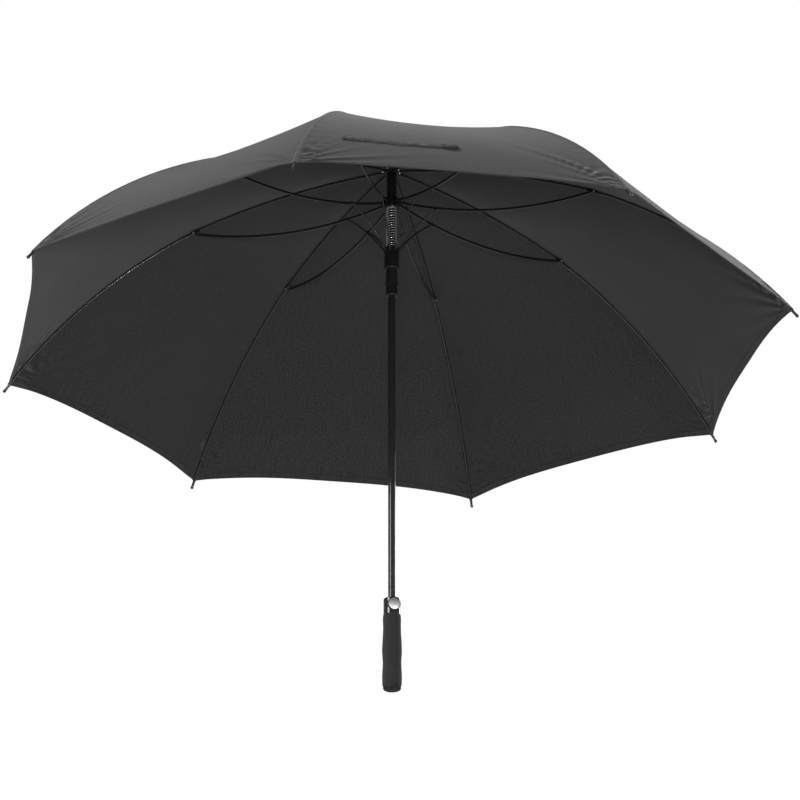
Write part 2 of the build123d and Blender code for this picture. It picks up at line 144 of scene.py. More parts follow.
def smooth_line(points, count):
    """A smooth curve through these points, spread evenly over their own spacing."""
    points = np.asarray(points, float)
    knots = np.arange(len(points))
    slope = np.gradient(points, axis=0)
    place = np.linspace(0, len(points) - 1, count)
    k = np.minimum(place.astype(int), len(points) - 2)
    t = (place - knots[k])[:, None]
    first, second = points[k], points[k + 1]
    return (
        first * (1 + 2 * t) * (1 - t) ** 2
        + slope[k] * t * (1 - t) ** 2
        + second * t**2 * (3 - 2 * t)
        + slope[k + 1] * t**2 * (t - 1)
    )


def turn_z(points, angle):
    """Points turned about the shaft."""
    c, s = math.cos(angle), math.sin(angle)
    return np.asarray(points) @ np.array([[c, s, 0], [-s, c, 0], [0, 0, 1]])


# ------------------------------------------------------------------ rib line and gore surface


def bowed(start, end, turn, share):
    """Points and slope of an arc from start to end that bows upwards by turning this much."""
    start, end = np.array(start), np.array(end)
    chord = end - start
    length = np.linalg.norm(chord)
    along = chord / length
    normal = np.array((-along[1], along[0]))
    ball = length / 2 / math.sin(turn / 2)
    angle = (np.asarray(share) * 2 - 1) * turn / 2
    run = ball * (np.sin(angle) + math.sin(turn / 2))
    rise = ball * (np.cos(angle) - math.cos(turn / 2))
    place = start + np.outer(run, along) + np.outer(rise, normal)
    up = np.outer(np.sin(angle), along) + np.outer(np.cos(angle), normal)
    return place, up


def cloth_line():
    """Height of the cloth over the ribs as a table against distance out along the middle of a gore."""
    share = np.linspace(0, 1, 300)
    inner, inner_up = bowed(NOTCH, KNUCKLE, INNER_TURN, share)
    outer, outer_up = bowed(KNUCKLE, RIB_END, OUTER_TURN, share)
    inner = inner + inner_up * (LIFT_HUB + (LIFT_KNUCKLE - LIFT_HUB) * share)[:, None]
    outer = outer + outer_up * (LIFT_KNUCKLE + (LIFT_END - LIFT_KNUCKLE) * share)[:, None]
    line = np.vstack([inner, outer[1:]])
    line[:, 0] *= math.cos(HALF)
    end_slope = line[-1] - line[-2]
    line = np.vstack([line, line[-1] + end_slope / np.linalg.norm(end_slope) * LINE_RUN_ON])
    return line


LINE = cloth_line()
LINE_X = np.linspace(LINE[0, 0], LINE[-1, 0], 1600)
LINE_Z = np.interp(LINE_X, LINE[:, 0], LINE[:, 1])
# The cloth rounds off the slight corner of the rib at its knuckle
SMOOTH_HALF = 30
SMOOTHER = np.hanning(2 * SMOOTH_HALF + 1) / np.hanning(2 * SMOOTH_HALF + 1).sum()
LINE_Z = np.pad(LINE_Z, SMOOTH_HALF, mode="reflect", reflect_type="odd")
LINE_Z = np.convolve(LINE_Z, SMOOTHER, mode="valid")
LINE_SLOPE = np.gradient(LINE_Z, LINE_X)
HEM_REACH = RIB_END[0] * math.cos(HALF)
SPREAD = math.tan(HALF)


def hem_distance_out(share):
    """How far out the hem lies at this share of the way from the gore's middle to a rib."""
    return HEM_REACH - HEM_BOW * (1 - np.abs(share) ** 3)


CREASE_ANGLES = (24, 34, 45, 57, 70, 82)
CREASE_START = 0.022
PUCKER_PITCH = 0.017
PUCKER_HEIGHT = 0.00035
PUCKER_REACH = 0.012
SWAY_HEIGHT = 0.0016


def creases(out, across, gore):
    """Creases that fan out of both tips of a gore: height above the taut cloth, in metres."""
    total = np.zeros_like(out)
    for side in (-1, 1):
        draw = np.random.default_rng(100 * gore + 10 + side)
        back = np.maximum(HEM_REACH - out, 0) * 1.5
        aside = np.maximum(HEM_REACH * SPREAD - side * across, 0)
        reach = np.hypot(back, aside) + 1e-6
        angle = np.degrees(np.arctan2(aside, back))
        for centre in CREASE_ANGLES:
            middle = centre + draw.uniform(-4, 4)
            width = draw.uniform(2.0, 3.6)
            height = draw.uniform(0.0008, 0.0032)
            length = draw.uniform(0.05, 0.12)
            ramp = 1 - np.exp(-((reach / CREASE_START) ** 2))
            ridge = np.exp(-(((angle - middle) / width) ** 2))
            furrow = 0.45 * np.exp(-(((angle - middle - 1.9 * width) / width) ** 2))
            total += height * ramp * (ridge - furrow) * np.exp(-((reach / length) ** 1.6))
    return total


def puckers(out, across, gore):
    """Small gathers along the seams over the ribs."""
    from_seam = (out * SPREAD - np.abs(across)) * math.cos(HALF)
    wave = np.sin(out * 2 * math.pi / PUCKER_PITCH + 1.3 * np.sin(out * 31 + gore))
    return PUCKER_HEIGHT * wave * np.exp(-from_seam / PUCKER_REACH) * np.clip(from_seam / 0.003, 0, 1)


def sway(out, across, gore):
    """Slow unevenness of stretched cloth."""
    places = list(zip(out.ravel(), across.ravel()))
    slow = np.array([noise.noise(Vector((x * 7, y * 5, gore * 3.7))) for x, y in places])
    quick = np.array([noise.noise(Vector((x * 16, y * 13, gore * 9.1))) for x, y in places])
    return SWAY_HEIGHT * (slow + 0.4 * quick).reshape(out.shape)


def gore_surface(out, across, gore):
    """Points of a gore's cloth in its own frame: +X along its middle, +Y towards the next rib."""
    share = np.clip(across / np.maximum(out * SPREAD, 1e-9), -1, 1)
    slope = np.interp(out, LINE_X, LINE_SLOPE)
    height = np.interp(out, LINE_X, LINE_Z)
    free = (1 - share**2) * np.clip((out - HOLE_REACH) / 0.10, 0, 1)
    hollow = np.sin(math.pi * np.clip(out / HEM_REACH, 0, 1) ** 0.9)
    lift = -SAG * hollow * free
    lift = lift + sway(out, across, gore) * free
    lift = lift + creases(out, across, gore) * np.clip((1 - np.abs(share)) / 0.05, 0, 1)
    lift = lift + puckers(out, across, gore)
    norm = np.sqrt(1 + slope**2)
    return np.stack([out - lift * slope / norm, across, height + lift / norm], axis=-1)


def gore_normals(out, across, gore):
    """Upward normals of the same surface."""
    step = 0.0006
    ahead = gore_surface(out + step, across, gore) - gore_surface(out - step, across, gore)
    aside = gore_surface(out, across + step, gore) - gore_surface(out, across - step, gore)
    normal = np.cross(ahead, aside)
    return normal / np.linalg.norm(normal, axis=-1, keepdims=True)


# ------------------------------------------------------------------ how the cloth folds with its rib


def rib_frame(rib):
    """Outward and sideways directions of a rib's plane."""
    around = rib * PITCH
    outward = np.array((math.cos(around), math.sin(around), 0.0))
    return outward, np.array((-math.sin(around), math.cos(around), 0.0))


# Each part of the cloth: the rib body it rides, the ends of that rib's line, how far the line bows, and its
# fold angle
PARTS = {
    "inner": ("rib_inner", NOTCH, KNUCKLE, INNER_TURN, RIB_FOLD),
    "outer": ("rib_outer", KNUCKLE, RIB_END, OUTER_TURN, RIB_FOLD - TIP_FOLD),
}


def fold_with_rib(piece, rib, part):
    """The piece rides its rib, with a mesh of its own."""
    body, start, end, turn, fold = PARTS[part]
    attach(piece, f"{body}_{rib + 1}")
    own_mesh(piece)


# ------------------------------------------------------------------ materials


def material(name, metallic=0.0, roughness=0.5, color=(0.02, 0.02, 0.02), **sockets):
    """A material with a Principled shader, and short ways to its nodes."""
    made = bpy.data.materials.new(name)
    made.use_nodes = True
    shader = made.node_tree.nodes["Principled BSDF"]
    shader.inputs["Base Color"].default_value = (*color, 1)
    shader.inputs["Metallic"].default_value = metallic
    shader.inputs["Roughness"].default_value = roughness
    for socket, value in sockets.items():
        shader.inputs[socket.replace("_", " ")].default_value = value
    return made, Nodes(made.node_tree, shader)


class Nodes:
    """Adds and links shader nodes."""

    def __init__(self, tree, shader):
        self.tree = tree
        self.shader = shader

    def add(self, kind, settings=(), **inputs):
        node = self.tree.nodes.new(kind)
        for name, value in dict(settings).items():
            setattr(node, name, value)
        for name, value in inputs.items():
            key = int(name[1:]) if name[0] == "i" and name[1:].isdigit() else name.replace("_", " ")
            self.feed(node.inputs[key], value)
        return node

    def feed(self, socket, value):
        if isinstance(value, bpy.types.NodeSocket):
            self.tree.links.new(value, socket)
        else:
            socket.default_value = value

    def math(self, operation, a, b=0.0, c=0.0):
        node = self.add("ShaderNodeMath", {"operation": operation}, i0=a, i1=b, i2=c)
        return node.outputs[0]

    def noise(self, where, scale, detail=4.0, roughness=0.55):
        node = self.add("ShaderNodeTexNoise", Vector=where, Scale=scale, Detail=detail, Roughness=roughness)
        return node.outputs["Fac"]

    def ramp(self, value, low, high, out_low=0.0, out_high=1.0):
        node = self.add("ShaderNodeMapRange", i0=value, i1=low, i2=high, i3=out_low, i4=out_high)
        return node.outputs[0]

    def mix(self, share, first, second):
        node = self.add("ShaderNodeMix", {"data_type": "RGBA"}, i0=share, i6=first, i7=second)
        return node.outputs[2]

    def bump(self, height, strength, distance, normal=None):
        node = self.add("ShaderNodeBump", Strength=strength, Distance=distance, Height=height)
        if normal is not None:
            self.tree.links.new(normal, node.inputs["Normal"])
        return node.outputs[0]

    def place(self):
        return self.add("ShaderNodeTexCoord").outputs["Object"]

    def stretched(self, vector, scale):
        return self.add("ShaderNodeMapping", Vector=vector, Scale=scale).outputs[0]

    def attribute(self, name):
        return self.add("ShaderNodeAttribute", {"attribute_name": name}).outputs["Vector"]

    def split(self, vector):
        return self.add("ShaderNodeSeparateXYZ", i0=vector).outputs

    def set(self, **links):
        for name, value in links.items():
            self.feed(self.shader.inputs[name.replace("_", " ")], value)


def grey(value, tint=(1.0, 1.0, 1.0)):
    """A grey of this brightness, slightly tinted, as a colour for a shader."""
    return (value * tint[0], value * tint[1], value * tint[2], 1)


def thread_bands(n, along, width):
    """Rounded threads across this coordinate: 0 between two threads and 1 on top of one."""
    phase = n.math("MULTIPLY", along, math.pi / width)
    return n.math("ABSOLUTE", n.math("SINE", phase))


SEAM_STITCH = 0.0042
HEM_STITCH = 0.0072
STITCH_LENGTH = 0.0032


def stitch_line(n, distance, place):
    """1 along a row of stitches at this distance from an edge, and 0 away from it."""
    away = n.math("ABSOLUTE", n.math("SUBTRACT", distance, place))
    return n.math("SUBTRACT", 1.0, n.ramp(away, 0.0003, 0.0007))


def cloth_material(name, value, tint, thread=0.0008):
    """Plain-weave pongee: warp and weft threads with painted shade in the gaps between them, slubs, faint
    soiling, stitches by the seams.
    """
    sheen = {"Sheen_Weight": 0.25, "Sheen_Roughness": 0.4}
    made, n = material(name, roughness=0.78, Specular_IOR_Level=0.35, **sheen)
    where = n.attribute("cut")
    lengthwise, crosswise, _ = n.split(where)
    seam, hem, along = n.split(n.attribute("edge"))
    warp = thread_bands(n, lengthwise, thread)
    weft = thread_bands(n, crosswise, thread)
    warp_on_top = n.math("SINE", n.math("MULTIPLY", lengthwise, math.pi / thread))
    weft_on_top = n.math("SINE", n.math("MULTIPLY", crosswise, math.pi / thread))
    over = n.ramp(n.math("MULTIPLY", warp_on_top, weft_on_top), -0.2, 0.2)
    under = n.math("SUBTRACT", 1.0, over)
    weave = n.math("ADD", n.math("MULTIPLY", warp, over), n.math("MULTIPLY", weft, under))
    fine = n.noise(where, 300.0, 4.0, 0.75)
    slub = n.noise(n.stretched(where, (30.0, 900.0, 1.0)), 1.0, 2.0)
    broad = n.noise(n.place(), 5.0, 4.0)
    seam_line = stitch_line(n, seam, SEAM_STITCH)
    hem_line = stitch_line(n, hem, HEM_STITCH)
    dash = n.ramp(n.math("SINE", n.math("MULTIPLY", along, 2 * math.pi / STITCH_LENGTH)), -0.5, -0.2)
    stitches = n.math("MULTIPLY", n.math("MAXIMUM", seam_line, hem_line), dash)
    grain = n.math("ADD", n.math("MULTIPLY", fine, 0.75), n.math("MULTIPLY", slub, 0.25))
    body = n.mix(n.ramp(grain, 0.38, 0.62), grey(value * 0.30, tint), grey(value * 1.8, tint))
    body = n.mix(n.ramp(broad, 0.35, 0.7, 0.0, 0.3), body, grey(value * 1.5, tint))
    # Painted shade: the gaps between the threads, low in the weave's bump, are darkened.
    body = n.mix(n.math("MULTIPLY", n.math("SUBTRACT", 1.0, weave), 0.45), body, grey(value * 0.45, tint))
    body = n.mix(n.math("MULTIPLY", stitches, 0.7), body, grey(value * 2.2, tint))
    normal = n.bump(weave, 0.35, 0.0003)
    normal = n.bump(fine, 0.25, 0.0006, normal)
    normal = n.bump(stitches, 0.7, 0.0005, normal)
    n.set(Base_Color=body, Normal=normal, Roughness=n.ramp(fine, 0.3, 0.7, 0.66, 0.86))
    return made


def painted_rod_material(name, value, roughness, coat):
    """Black enamel on wire: faint orange peel, rubbed edges and fine scratches along it."""
    made, n = material(name, roughness=roughness, Coat_Weight=coat, Coat_Roughness=0.12)
    where = n.place()
    peel = n.noise(where, 900.0, 2.0)
    rub = n.noise(where, 70.0, 5.0, 0.7)
    scratch = n.noise(n.stretched(where, (500.0, 500.0, 60.0)), 4.0, 3.0)
    worn = n.math("MULTIPLY", n.ramp(rub, 0.58, 0.74), n.ramp(scratch, 0.45, 0.6))
    n.set(
        Base_Color=n.mix(n.math("MULTIPLY", worn, 0.5), grey(value), grey(0.08)),
        Roughness=n.ramp(rub, 0.3, 0.75, roughness * 0.75, roughness * 1.4),
        Normal=n.bump(peel, 0.15, 0.0003),
    )
    return made


SHAFT_RADIUS = 0.006
STRAND_PITCH = 0.0042


def woven_tube_material(name, value):
    """Glossy glass-fibre tube whose crossing strands show through the clear resin."""
    made, n = material(name, roughness=0.2, Coat_Weight=0.6, Coat_Roughness=0.06)
    x, y, z = n.split(n.place())
    slant = n.math("MULTIPLY", n.math("MULTIPLY", n.math("ARCTAN2", y, x), SHAFT_RADIUS), 0.8)
    turns = 2 * math.pi / STRAND_PITCH
    right = n.math("SINE", n.math("MULTIPLY", n.math("ADD", z, slant), turns))
    left = n.math("SINE", n.math("MULTIPLY", n.math("SUBTRACT", z, slant), turns))
    cross = n.ramp(n.math("MULTIPLY", right, left), -0.9, 0.9)
    streak = n.noise(n.stretched(n.place(), (600.0, 600.0, 25.0)), 1.0, 3.0)
    n.set(
        Base_Color=n.mix(cross, grey(value * 0.5), grey(value * 1.8, (1.0, 1.0, 1.06))),
        Roughness=n.math("ADD", n.ramp(cross, 0.0, 1.0, 0.13, 0.34), n.math("MULTIPLY", streak, 0.08)),
        Normal=n.bump(cross, 0.55, 0.00035),
    )
    return made


def moulded_material(name, value, roughness, texture=0.0004):
    """Moulded nylon: fine spark-eroded texture with shinier rubbed places."""
    made, n = material(name, roughness=roughness, Specular_IOR_Level=0.45)
    where = n.place()
    grain = n.noise(where, 1400.0, 3.0, 0.6)
    rub = n.noise(where, 45.0, 4.0)
    dust = n.ramp(n.noise(where, 160.0, 5.0, 0.7), 0.55, 0.8)
    n.set(
        Base_Color=n.mix(n.math("MULTIPLY", dust, 0.25), grey(value), grey(value * 3.2)),
        Roughness=n.ramp(rub, 0.3, 0.7, roughness * 0.7, roughness * 1.2),
        Normal=n.bump(grain, 0.3, texture),
    )
    return made


def gloss_material(name, value):
    """Polished black plastic with faint swirl marks and finger smudges."""
    made, n = material(name, roughness=0.12, Coat_Weight=0.5, Coat_Roughness=0.04)
    where = n.place()
    smudge = n.noise(where, 60.0, 5.0, 0.65)
    swirl = n.noise(n.stretched(where, (900.0, 900.0, 90.0)), 1.0, 4.0)
    n.set(
        Base_Color=n.mix(n.ramp(smudge, 0.5, 0.8, 0.0, 0.4), grey(value), grey(value * 2.4)),
        Roughness=n.math("ADD", n.ramp(smudge, 0.35, 0.75, 0.07, 0.24), n.math("MULTIPLY", swirl, 0.05)),
        Normal=n.bump(swirl, 0.04, 0.0002),
    )
    return made


def metal_material(name, value, roughness, turned=0.0):
    """Bright metal with fine polishing lines and slight tarnish."""
    made, n = material(name, metallic=1.0, roughness=roughness)
    where = n.place()
    lines = n.noise(n.stretched(where, (300.0, 300.0, 2600.0)), 1.0, 2.0)
    tarnish = n.noise(where, 130.0, 5.0, 0.7)
    dull = grey(value * 0.55, (1.05, 1.0, 0.93))
    haze = n.ramp(tarnish, 0.3, 0.7, roughness * 0.7, roughness * 1.6)
    n.set(
        Base_Color=n.mix(n.ramp(tarnish, 0.45, 0.8, 0.0, 0.45), grey(value), dull),
        Roughness=n.math("ADD", haze, n.math("MULTIPLY", lines, turned)),
        Normal=n.bump(lines, 0.06, 0.0002),
    )
    return made


WARM = (1.0, 0.98, 0.95)


def foam_material(name, value):
    """Closed-cell EVA foam: open skin cells with painted shade in the grooves between them, paler specks
    and hand-worn sheen.
    """
    made, n = material(name, roughness=0.92, Specular_IOR_Level=0.25, Sheen_Weight=0.15)
    where = n.place()
    voronoi = n.add("ShaderNodeTexVoronoi", {"feature": "DISTANCE_TO_EDGE"}, Vector=where, Scale=1500.0)
    pits = n.ramp(voronoi.outputs["Distance"], 0.02, 0.22)
    specks = n.noise(where, 1300.0, 3.0, 0.75)
    broad = n.noise(where, 70.0, 4.0)
    body = n.mix(n.ramp(specks, 0.4, 0.6), grey(value * 0.35, WARM), grey(value * 2.0, WARM))
    body = n.mix(n.ramp(broad, 0.4, 0.75, 0.0, 0.35), body, grey(value * 1.5, WARM))
    # Painted shade: the grooves between the cells, low in the bump, are darkened.
    body = n.mix(n.math("MULTIPLY", n.math("SUBTRACT", 1.0, pits), 0.5), body, grey(value * 0.35))
    normal = n.bump(specks, 0.4, 0.0005, n.bump(pits, 0.5, 0.0004))
    n.set(Base_Color=body, Normal=normal, Roughness=n.ramp(broad, 0.3, 0.7, 0.82, 0.96))
    return made


CHARCOAL = (0.97, 1.0, 1.05)
CLOTH = cloth_material("canopy_cloth", 0.030, CHARCOAL)
# The seam strips are the canopy's pongee at a paler grey: painted highlight along the seams over the ribs.
SEAM_CLOTH_PAINTED_HIGHLIGHT = cloth_material("seam_cloth", 0.055, CHARCOAL, thread=0.0007)
# The strap is the canopy's pongee at a paler grey: painted light that brightens the whole band.
STRAP_CLOTH_PAINTED_HIGHLIGHT = cloth_material("strap_cloth", 0.052, CHARCOAL, thread=0.001)
TAB_CLOTH = moulded_material("strap_tab_hooks", 0.014, 0.85, 0.0007)
THREAD = moulded_material("sewing_thread", 0.03, 0.6)
SPRING = metal_material("spring_wire", 0.55, 0.13)
PIN = metal_material("pin_steel", 0.2, 0.3)
STEEL_BLACK = painted_rod_material("rib_enamel", 0.010, 0.32, 0.3)
ROD_BLACK = painted_rod_material("rib_resin", 0.016, 0.2, 0.7)
SHAFT_BLACK = woven_tube_material("shaft_weave", 0.012)
NYLON = moulded_material("moulded_nylon", 0.010, 0.42)
RUBBER = moulded_material("cap_rubber", 0.010, 0.7, 0.0006)
GLOSS = gloss_material("housing_gloss", 0.008)
TIP = gloss_material("tip_gloss", 0.012)
CHROME = metal_material("button_chrome", 0.95, 0.34)
BRIGHT = metal_material("bright_steel", 0.7, 0.24, 0.1)
FOAM = foam_material("grip_foam", 0.029)

# ------------------------------------------------------------------ CAD nodes that stay


def finish_node(name, skin, angle=32):
    """Gives a CAD node its material and smooth shading between its real edges."""
    mesh = nodes[name].data
    mesh.materials.clear()
    mesh.materials.append(skin)
    mesh.polygons.foreach_set("use_smooth", [True] * len(mesh.polygons))
    mesh.set_sharp_from_angle(angle=math.radians(angle))


def soften_edges(name, width):
    """Small rounded edges that catch the light on a moulded CAD node."""
    bevel = nodes[name].modifiers.new("soft_edges", "BEVEL")
    bevel.width = width
    bevel.segments = 2
    bevel.limit_method = "ANGLE"
    bevel.angle_limit = math.radians(40)


SKINS = {
    "shaft": SHAFT_BLACK,
    "ferrule": NYLON,
    "top_cap": NYLON,
    "top_notch": NYLON,
    "notch_pins": PIN,
    "upper_pins": PIN,
    "lower_pins": PIN,
    "upper_runner": NYLON,
    "lower_runner": NYLON,
    "button_housing": GLOSS,
    "latch_pin": BRIGHT,
    "button_spring": BRIGHT,
    "release_button": CHROME,
    "handle_core": NYLON,
    "end_cap": RUBBER,
}
for node_name, skin in SKINS.items():
    finish_node(node_name, skin)
for node_name in ("upper_runner", "lower_runner", "top_notch", "top_cap", "ferrule", "end_cap"):
    soften_edges(node_name, 0.0003)
for number in range(1, RIBS + 1):
    finish_node(f"rib_inner_{number}", STEEL_BLACK)
    finish_node(f"rib_outer_{number}", ROD_BLACK)
    finish_node(f"stretcher_{number}", STEEL_BLACK)
    finish_node(f"strut_{number}", STEEL_BLACK)

# ------------------------------------------------------------------ canopy


def spaced(count, crowd):
    """Shares from 0 to 1, crowded towards 1 by this much."""
    share = np.linspace(0, 1, count)
    return 1 - (1 - share) ** (1 + crowd)


def tuck_depth(share):
    """How far an outer leaf runs on beneath the inner one, so that no gap opens when they fold."""
    return 0.003 + 0.012 * (1 - share)


def leaf_grid(rib, side, part):
    """Cloth between a rib and the middle of the gore beside it, inside or outside the knuckle."""
    gore = rib if side > 0 else (rib - 1) % RIBS
    share = (1 - spaced(34 if part == "outer" else 20, 0.35))[::-1]
    out_share = spaced(74, 0.35) if part == "outer" else np.linspace(0, 1, 44)
    knuckle_out = KNUCKLE[0] / (math.cos(HALF) + share * SPREAD * math.sin(HALF))
    low = np.full_like(share, HOLE_REACH) if part == "inner" else knuckle_out - tuck_depth(share)
    high = knuckle_out if part == "inner" else hem_distance_out(share)
    out = low + np.outer(out_share, high - low)
    across = -side * out * SPREAD * share
    return gore, out, across, share


# The hem's rows, as (distance back from the edge, depth beneath it, how far its normal faces up)
HEM_TURNS = [
    (-0.0006, 0.0003, -0.4),
    (-0.0009, 0.0010, -1.0),
    (0.0, 0.0016, -1.0),
    (0.003, 0.0017, -1.0),
    (HEM_FOLD - 0.001, 0.0014, -1.0),
    (HEM_FOLD, 0.0006, -1.0),
]


def turn_hem(points, normals):
    """Adds a leaf's hem: the cloth turns under itself at its edge and runs back inwards."""
    edge, up = points[-1], normals[-1]
    inward = points[-4] - points[-1]
    inward /= np.linalg.norm(inward, axis=-1, keepdims=True)
    for along, under, facing in HEM_TURNS:
        points = np.vstack([points, [edge + inward * along - up * under]])
        aim = up * (facing + 0.3) - inward * (1 - abs(facing))
        normals = np.vstack([normals, [aim / np.linalg.norm(aim, axis=-1, keepdims=True)]])
    return points, normals


def run_on(grid):
    """Repeats a grid's last row for each row of the hem."""
    return np.vstack([grid, np.repeat(grid[-1:], len(HEM_TURNS), axis=0)])


# Mean length of cloth for each unit outwards, which spaces the weave along the gore
CLOTH_RUN = 1.18
TUCK_GAP = 0.00014


def cloth_leaf(rib, side, part):
    """One leaf of the canopy as an object, with its seam and hem distances for the stitching."""
    gore, out, across, share = leaf_grid(rib, side, part)
    points = gore_surface(out, across, gore)
    normals = gore_normals(out, across, gore)
    slope = np.interp(out, LINE_X, LINE_SLOPE)
    from_hem = (hem_distance_out(np.broadcast_to(share, out.shape)) - out) * np.sqrt(1 + slope**2)
    from_seam = (out * SPREAD - np.abs(across)) * math.cos(HALF)
    if part == "outer":
        hidden = np.clip((out[0] + tuck_depth(share) - out) / 0.003, 0, 1)
        points = points - normals * (TUCK_GAP * hidden)[..., None]
        points, normals = turn_hem(points, normals)
        hem_rows = [np.full(len(share), max(along, 0.0)) for along, _, _ in HEM_TURNS]
        from_hem = np.vstack([from_hem, hem_rows])
        out, across, from_seam = run_on(out), run_on(across), run_on(from_seam)
    rows, columns = out.shape
    azimuth = gore * PITCH + HALF
    name = f"canopy_{part}_{rib + 1}{'a' if side < 0 else 'b'}"
    faces = grid_faces(rows, columns, flip=side < 0)
    leaf = new_object(name, turn_z(points.reshape(-1, 3), azimuth), faces)
    mesh = leaf.data
    run = out * CLOTH_RUN
    by_hem = from_hem < HEM_FOLD + 0.003
    cloth_data(mesh, run, across, from_seam, from_hem, np.where(by_hem, np.abs(across), run))
    mesh.materials.append(CLOTH)
    mesh.normals_split_custom_set_from_vertices([tuple(v) for v in turn_z(normals.reshape(-1, 3), azimuth)])
    return leaf


def cloth_data(mesh, run, across, seam, hem, along):
    """Stores where each point lies in the cut cloth, and how far it is from the seam and the hem."""
    cut = np.stack([run, across, np.zeros_like(run)], -1)
    edge = np.stack([seam, hem, along], -1)
    for name, values in (("cut", cut), ("edge", edge)):
        layer = mesh.attributes.new(name, "FLOAT_VECTOR", "POINT")
        layer.data.foreach_set("vector", values.astype(np.float32).ravel())


SEAM_HALF = 0.0034


def seam_strip(rib, part):
    """The felled seam over a rib: a narrow band that lies on the gores on both its sides."""
    near, far = (0.0168, KNUCKLE[0]) if part == "inner" else (KNUCKLE[0], RIB_END[0] - 0.0006)
    reach = np.linspace(near, far, 170)
    offsets = np.array([-1.1, -1.0, -0.55, -0.12, 0.12, 0.55, 1.0, 1.1]) * SEAM_HALF
    heights = np.array([-0.0002, 0.00045, 0.0007, 0.0011, 0.0011, 0.0007, 0.00045, -0.0002])
    rows = []
    for offset, height in zip(offsets, heights):
        side = 1 if offset > 0 else -1
        gore = rib if side > 0 else (rib - 1) % RIBS
        away = abs(offset)
        out = reach * math.cos(HALF) + away * math.sin(HALF)
        across = -side * (reach * math.sin(HALF) - away * math.cos(HALF))
        place = gore_surface(out, across, gore) + gore_normals(out, across, gore) * height
        rows.append(turn_z(place, gore * PITCH + HALF))
    faces = grid_faces(len(rows), len(reach), flip=True)
    strip = new_object(f"seam_{part}_{rib + 1}", np.concatenate(rows), faces)
    run = np.tile(reach, len(rows))
    aside = np.repeat(offsets, len(reach))
    cloth_data(strip.data, run, aside, np.abs(aside) + 0.0018, np.full_like(run, 0.1), run)
    strip.data.materials.append(SEAM_CLOTH_PAINTED_HIGHLIGHT)
    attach(strip, f"{PARTS[part][0]}_{rib + 1}")
    return strip


for rib in range(RIBS):
    for part in ("inner", "outer"):
        strip = seam_strip(rib, part)
        for side in (-1, 1):
            leaf = cloth_leaf(rib, side, part)
            fold_with_rib(leaf, rib, part)
            if side > 0 and part == "outer":
                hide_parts(f"canopy_gore_{rib + 1}")

# ------------------------------------------------------------------ closing strap

STRAP_OUT = 0.536
STRAP_ENDS = (-0.1685, 0.009)
STRAP_GORE = 6
STRAP_HALF = 0.0043
STRAP_THICK = 0.0012
STRAP_LIFT = 0.0006
STRAP_SLACK = 0.0004
TAB_LIFT = 0.0038


def drawn_out(value, power):
    """A value from -1 to 1 drawn towards its extremes, with its sign kept."""
    return np.sign(value) * np.abs(value) ** power


def strap_crease(along, angle):
    """How much the strap's surface stands out or in at this place along it and around it."""
    return noise.noise(Vector((along * 120, math.cos(angle) * 1.4 + along * 40, math.sin(angle) * 1.1)))


def strap_section(along):
    """Half width and thickness along the strap, and where it is slack: it is bunched at both ends."""
    sewn = np.exp(-(((along - STRAP_ENDS[0]) / 0.012) ** 2))
    fastened = np.clip((along + 0.022) / 0.004, 0, 1)
    ends = np.minimum(along - STRAP_ENDS[0], STRAP_ENDS[1] - along)
    rounding = np.sqrt(np.clip(ends / 0.004, 0, 1) * (2 - np.clip(ends / 0.004, 0, 1)))
    half = (STRAP_HALF + 0.0012 * sewn + 0.0010 * fastened) * rounding
    thick = (STRAP_THICK + 0.0010 * sewn + 0.0008 * fastened) * rounding
    return half, thick, 1 - fastened - sewn


def strap_band():
    """Closing strap: a soft doubled band, twisted and creased, bunched at its sewn and fastened ends."""
    along = np.linspace(*STRAP_ENDS, 220)
    sides = 28
    half, thick, slack = strap_section(along)
    out = STRAP_OUT + 0.0009 * np.sin(along * 61) + 0.0006 * np.sin(along * 143 + 1)
    foot = gore_surface(out, along, STRAP_GORE)
    up = gore_normals(out, along, STRAP_GORE)
    ahead = np.gradient(foot, axis=0)
    ahead /= np.linalg.norm(ahead, axis=1)[:, None]
    aside = np.cross(up, ahead)
    angles = np.linspace(0, 2 * math.pi, sides, endpoint=False)
    crease = np.array([[strap_crease(a, b) for b in angles] for a in along])
    wide = drawn_out(np.cos(angles), 0.8)
    high = drawn_out(np.sin(angles), 0.9)
    sharp = drawn_out(crease, 0.7)
    body = half[:, None] * wide * (1 + 0.3 * sharp)
    lift = STRAP_LIFT + thick[:, None] * (1 + high) * (1 + 0.9 * sharp)
    lift = lift + STRAP_SLACK * slack[:, None]
    points = foot[:, None] + aside[:, None] * body[..., None] + up[:, None] * lift[..., None]
    faces = grid_faces(len(along), sides, round_columns=True)
    faces += [cap(0, sides, flip=True), cap(len(along) - 1, sides)]
    turned = turn_z(points.reshape(-1, 3), STRAP_GORE * PITCH + HALF)
    band = new_object("closing_strap_band", turned, faces)
    run = np.repeat(along, sides)
    aside_run = (half[:, None] * angles[None, :] / 2).ravel()
    stitch = np.abs(np.abs(body.ravel()) - 0.0034) + SEAM_STITCH
    cloth_data(band.data, run, aside_run, stitch, np.full_like(run, 0.1), run)
    band.data.materials.append(STRAP_CLOTH_PAINTED_HIGHLIGHT)
    return band


